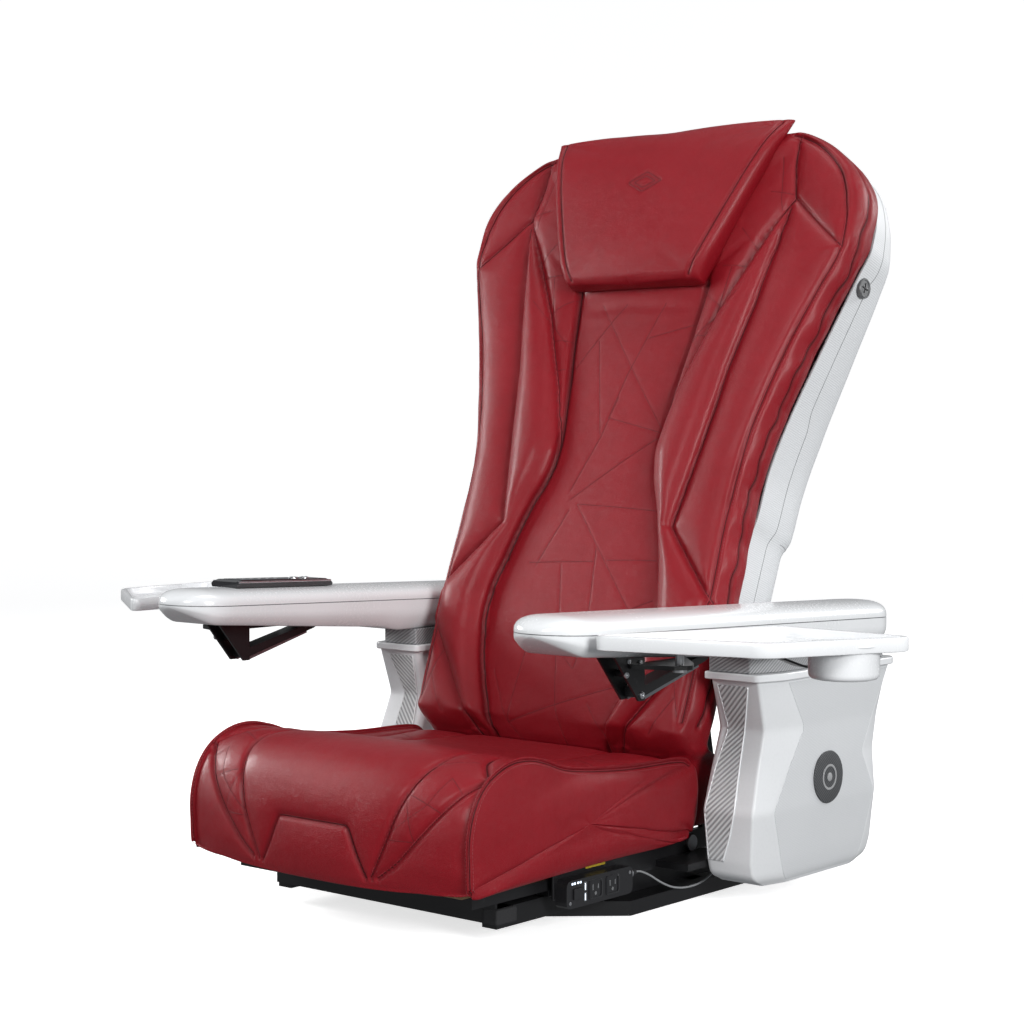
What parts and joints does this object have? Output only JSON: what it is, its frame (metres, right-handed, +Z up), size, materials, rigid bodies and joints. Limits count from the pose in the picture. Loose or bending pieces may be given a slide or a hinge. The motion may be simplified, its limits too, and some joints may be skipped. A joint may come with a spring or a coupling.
{
  "type": "spa massage chair",
  "caption": "Upholstered spa massage chair top: sliding seat, reclining massage backrest, swing-out armrests on posts with swivelling cup trays.",
  "frame": {"origin": "on the floor under the middle of the base pan", "axes": "+Z up, the sitter faces -Y, +X is the sitter's left"},
  "size_m": [1.4712, 0.9469, 1.23],
  "materials": {
    "leather": "grained satin",
    "white_plastic": "satin gloss",
    "striped_plastic": "diagonal ribs",
    "dark_plastic": "matte",
    "black_steel": "powder coat",
    "bright_steel": "bright",
    "jack_rubber": "matte",
    "cable_grey": "smooth",
    "plywood": "raw"
  },
  "bodies": {
    "base": {"base_frame": "black_steel", "slide_motor": "dark_plastic"},
    "slide_screw": {"slide_screw": "bright_steel"},
    "seat": {"seat_frame": "black_steel", "seat_board": "plywood", "seat_cushion": "leather", "slide_nut": "bright_steel", "control_box": "dark_plastic", "runner_left": "dark_plastic", "runner_right": "dark_plastic", "hinge_pin_left": "bright_steel", "hinge_pin_right": "bright_steel", "actuator_pin": "bright_steel", "strip_bracket": "black_steel", "power_strip": "dark_plastic", "cable_jack": "jack_rubber", "strip_cable": "cable_grey", "post_left": "white_plastic", "post_right": "white_plastic", "post_insert_left": "striped_plastic", "post_insert_right": "striped_plastic", "post_badge_left": "dark_plastic", "post_badge_right": "dark_plastic", "neck_left": "striped_plastic", "neck_right": "striped_plastic", "arm_pin_left": "bright_steel", "arm_pin_right": "bright_steel"},
    "power_button": {"power_button": "dark_plastic"},
    "backrest": {"back_cushion": "leather", "head_pillow": "leather", "back_shell": "white_plastic", "back_frame": "black_steel", "massage_track": "bright_steel", "massage_motor": "dark_plastic", "clevis_pin": "bright_steel"},
    "massage_screw": {"massage_screw": "bright_steel"},
    "carriage": {"massage_carriage": "dark_plastic"},
    "disc_left": {"massage_disc_left": "dark_plastic"},
    "disc_right": {"massage_disc_right": "dark_plastic"},
    "actuator": {"actuator_tube": "black_steel"},
    "actuator_rod": {"actuator_rod": "bright_steel"},
    "arm_left": {"arm_lower_left": "white_plastic", "arm_pad_left": "white_plastic", "tray_bracket_left": "black_steel", "tray_pin_left": "bright_steel"},
    "arm_right": {"arm_lower_right": "white_plastic", "arm_pad_right": "white_plastic", "tray_bracket_right": "black_steel", "tray_pin_right": "bright_steel", "remote_body": "dark_plastic"},
    "tray_left": {"tray_left": "white_plastic", "cup_holder_left": "white_plastic", "tray_carrier_left": "black_steel"},
    "tray_right": {"tray_right": "white_plastic", "cup_holder_right": "white_plastic", "tray_carrier_right": "black_steel"},
    "lever_left": {"tray_lever_left": "black_steel"},
    "lever_right": {"tray_lever_right": "black_steel"},
    "key_1": {"remote_key_1": "bright_steel"},
    "key_2": {"remote_key_2": "bright_steel"}
  },
  "joints": [
    {"name": "seat_slide", "type": "slide", "parent": "base", "child": "seat", "axis": [0, -1, 0], "range_m": [0, 0.1]},
    {"name": "slide_screw_turn", "type": "hinge", "parent": "base", "child": "slide_screw", "pos_m": [-0.1, -0.14, 0.042], "axis": [0, 1, 0], "range_deg": [0, 1800]},
    {"name": "back_recline", "type": "hinge", "parent": "seat", "child": "backrest", "pos_m": [0, 0.045, 0.082], "axis": [-1, 0, 0], "range_deg": [0, 35]},
    {"name": "actuator_pivot", "type": "hinge", "parent": "seat", "child": "actuator", "pos_m": [0, 0.19, 0.055], "axis": [-1, 0, 0], "range_deg": [0, 40]},
    {"name": "actuator_extend", "type": "slide", "parent": "actuator", "child": "actuator_rod", "axis": [0, -0.032, 0.9995], "range_m": [-0.095, 0]},
    {"name": "massage_travel", "type": "slide", "parent": "backrest", "child": "carriage", "axis": [0, 0.3461, 0.9382], "range_m": [0, 0.33]},
    {"name": "massage_screw_turn", "type": "hinge", "parent": "backrest", "child": "massage_screw", "pos_m": [0, 0.29571, 0.71273], "axis": [0, 0.3461, 0.9382], "range_deg": [0, 5940]},
    {"name": "disc_left_spin", "type": "hinge", "parent": "carriage", "child": "disc_left", "pos_m": [0.045, 0.22192, 0.59073], "axis": [0, 0.9382, -0.3461], "continuous": true},
    {"name": "disc_right_spin", "type": "hinge", "parent": "carriage", "child": "disc_right", "pos_m": [-0.045, 0.22192, 0.59073], "axis": [0, 0.9382, -0.3461], "continuous": true},
    {"name": "arm_left_swing", "type": "hinge", "parent": "seat", "child": "arm_left", "pos_m": [0.365, 0.295, 0.385], "axis": [0, 0, 1], "range_deg": [0, 75]},
    {"name": "arm_right_swing", "type": "hinge", "parent": "seat", "child": "arm_right", "pos_m": [-0.365, 0.295, 0.385], "axis": [0, 0, -1], "range_deg": [0, 75]},
    {"name": "tray_left_swivel", "type": "hinge", "parent": "arm_left", "child": "tray_left", "pos_m": [0.47, -0.3, 0.434], "axis": [0, 0, 1], "range_deg": [0, 40]},
    {"name": "tray_right_swivel", "type": "hinge", "parent": "arm_right", "child": "tray_right", "pos_m": [-0.47, -0.3, 0.434], "axis": [0, 0, -1], "range_deg": [-21, 19]},
    {"name": "lever_left_turn", "type": "hinge", "parent": "tray_left", "child": "lever_left", "pos_m": [0.55456, -0.27783, 0.423], "axis": [0, 0, 1], "range_deg": [-12, 12]},
    {"name": "lever_right_turn", "type": "hinge", "parent": "tray_right", "child": "lever_right", "pos_m": [-0.541, -0.249, 0.423], "axis": [0, 0, -1], "range_deg": [-12, 12]},
    {"name": "power_button_press", "type": "slide", "parent": "seat", "child": "power_button", "axis": [-1, 0, 0], "range_m": [0, 0.0015], "stiffness_N_per_m": 400},
    {"name": "remote_key_1_press", "type": "slide", "parent": "arm_right", "child": "key_1", "axis": [0, 0, -1], "range_m": [0, 0.0015], "stiffness_N_per_m": 400},
    {"name": "remote_key_2_press", "type": "slide", "parent": "arm_right", "child": "key_2", "axis": [0, 0, -1], "range_m": [0, 0.0015], "stiffness_N_per_m": 400}
  ],
  "couplings": [
    {"joint": "slide_screw_turn", "follows": "seat_slide", "rad_per_m": 314.16},
    {"joint": "actuator_pivot", "follows": "back_recline", "ratio": 1.0179},
    {"joint": "actuator_extend", "follows": "back_recline", "m_per_rad": -0.14446},
    {"joint": "massage_screw_turn", "follows": "massage_travel", "rad_per_m": 314.16},
    {"joint": "disc_right_spin", "follows": "disc_left_spin", "ratio": -1}
  ]
}
